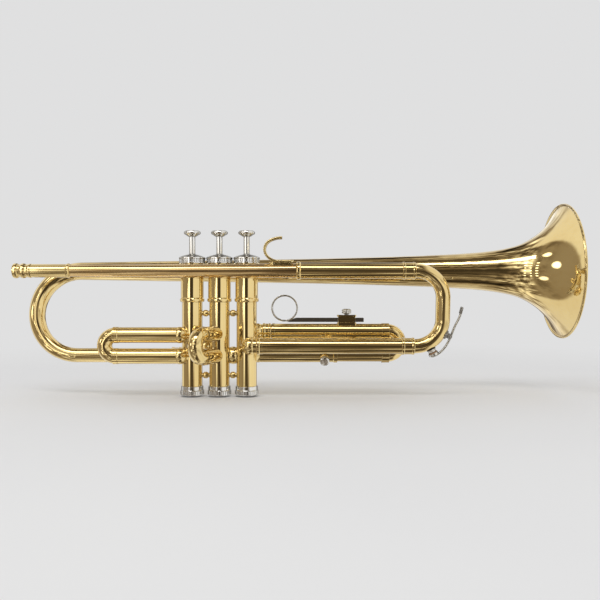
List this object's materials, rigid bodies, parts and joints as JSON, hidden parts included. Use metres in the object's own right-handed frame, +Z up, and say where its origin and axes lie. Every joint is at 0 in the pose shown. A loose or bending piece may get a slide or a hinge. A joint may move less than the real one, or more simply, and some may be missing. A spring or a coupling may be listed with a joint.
{
  "type": "trumpet",
  "caption": "Piston-valve trumpet with flared bell, sprung valves, main tuning slide with water key, valve slides that draw, and an adjustable finger ring.",
  "frame": {"origin": "centre of the mouthpiece receiver's mouth, on the leadpipe axis", "axes": "+X along the bell axis towards the bell mouth, +Z up along the valve stems, +Y to the player's left, where the bell is"},
  "size_m": [0.4872, 0.1253, 0.1725],
  "materials": {
    "lacquered_brass": "polished, clear gold lacquer",
    "nickel_plate": "polished nickel plate",
    "nickel_silver": "drawn and honed, greased",
    "monel": "honed and oiled",
    "spring_wire": "drawn wire",
    "brass_plain": "bare brass",
    "felt": "dense wool felt",
    "cork": "sanded cork",
    "pearl": "polished pearl"
  },
  "bodies": {
    "body": {"mouthpiece_receiver": "lacquered_brass", "leadpipe": "lacquered_brass", "leadpipe_ferrule": "lacquered_brass", "upper_outer_tube": "lacquered_brass", "lower_outer_tube": "lacquered_brass", "bell": "lacquered_brass", "bell_rim_wire": "brass_plain", "bell_knuckle": "lacquered_brass", "valve_casing_1": "lacquered_brass", "valve_casing_2": "lacquered_brass", "valve_casing_3": "lacquered_brass", "crossing_tubes": "lacquered_brass", "ball_braces": "lacquered_brass", "top_caps": "nickel_plate", "bottom_caps": "nickel_plate", "valve_guides": "brass_plain", "valve_spring_1": "spring_wire", "valve_spring_2": "spring_wire", "valve_spring_3": "spring_wire", "first_slide_outer_tubes": "lacquered_brass", "second_slide_outer_tubes": "lacquered_brass", "third_slide_inner_tube": "lacquered_brass", "third_slide_outer_tube": "lacquered_brass", "lyre_socket": "lacquered_brass", "finger_hook": "lacquered_brass", "bell_braces": "lacquered_brass"},
    "valve_1": {"piston_1": "monel", "valve_stem_1": "nickel_plate", "finger_button_1": "nickel_plate", "button_inlay_1": "pearl", "valve_felt_1": "felt"},
    "valve_2": {"piston_2": "monel", "valve_stem_2": "nickel_plate", "finger_button_2": "nickel_plate", "button_inlay_2": "pearl", "valve_felt_2": "felt"},
    "valve_3": {"piston_3": "monel", "valve_stem_3": "nickel_plate", "finger_button_3": "nickel_plate", "button_inlay_3": "pearl", "valve_felt_3": "felt"},
    "tuning_slide": {"tuning_slide_inner_tubes": "nickel_silver", "tuning_slide_ferrules": "lacquered_brass", "tuning_slide_bow": "lacquered_brass", "water_key_saddle": "nickel_plate", "water_key_pin": "nickel_plate", "water_key_spring": "spring_wire"},
    "water_key": {"water_key": "nickel_plate", "water_key_cork": "cork"},
    "first_slide": {"first_slide_inner_tubes": "nickel_silver", "first_slide_bow": "lacquered_brass"},
    "second_slide": {"second_slide_inner_tubes": "nickel_silver", "second_slide_bow": "lacquered_brass"},
    "third_slide": {"third_slide_moving_tubes": "lacquered_brass", "third_slide_bow": "lacquered_brass", "third_slide_brace": "lacquered_brass", "ring_clamp": "lacquered_brass"},
    "finger_ring": {"finger_ring": "nickel_plate"},
    "clamp_screw": {"clamp_screw": "nickel_plate"},
    "lyre_screw": {"lyre_screw": "nickel_plate"}
  },
  "joints": [
    {"name": "valve_1_press", "type": "slide", "parent": "body", "child": "valve_1", "axis": [0, 0, -1], "range_m": [0, 0.0157], "stiffness_N_per_m": 120, "springref_m": -0.018, "deforming": ["valve_spring_1"]},
    {"name": "valve_2_press", "type": "slide", "parent": "body", "child": "valve_2", "axis": [0, 0, -1], "range_m": [0, 0.0157], "stiffness_N_per_m": 120, "springref_m": -0.018, "deforming": ["valve_spring_2"]},
    {"name": "valve_3_press", "type": "slide", "parent": "body", "child": "valve_3", "axis": [0, 0, -1], "range_m": [0, 0.0157], "stiffness_N_per_m": 120, "springref_m": -0.018, "deforming": ["valve_spring_3"]},
    {"name": "tuning_slide_pull", "type": "slide", "parent": "body", "child": "tuning_slide", "axis": [1, 0, 0], "range_m": [0, 0.05]},
    {"name": "water_key_press", "type": "hinge", "parent": "tuning_slide", "child": "water_key", "pos_m": [0.3762, 0.00605, -0.05648], "axis": [0, -0.9943, -0.1064], "range_deg": [0, 14], "stiffness_Nm_per_rad": 0.02},
    {"name": "first_slide_pull", "type": "slide", "parent": "body", "child": "first_slide", "axis": [-1, 0, 0], "range_m": [0, 0.025]},
    {"name": "second_slide_pull", "type": "slide", "parent": "body", "child": "second_slide", "axis": [-0.4226, -0.9063, 0], "range_m": [0, 0.008]},
    {"name": "third_slide_throw", "type": "slide", "parent": "body", "child": "third_slide", "axis": [1, 0, 0], "range_m": [0, 0.024]},
    {"name": "ring_adjust", "type": "slide", "parent": "third_slide", "child": "finger_ring", "axis": [1, 0, 0], "range_m": [-0.006, 0.02]},
    {"name": "clamp_screw_turn", "type": "hinge", "parent": "third_slide", "child": "clamp_screw", "pos_m": [0.2886, 0.027, -0.04], "axis": [0, 0, 1], "continuous": true},
    {"name": "lyre_screw_turn", "type": "hinge", "parent": "body", "child": "lyre_screw", "pos_m": [0.2686, 0.027, -0.0742], "axis": [0, -0.9205, -0.3907], "continuous": true}
  ]
}
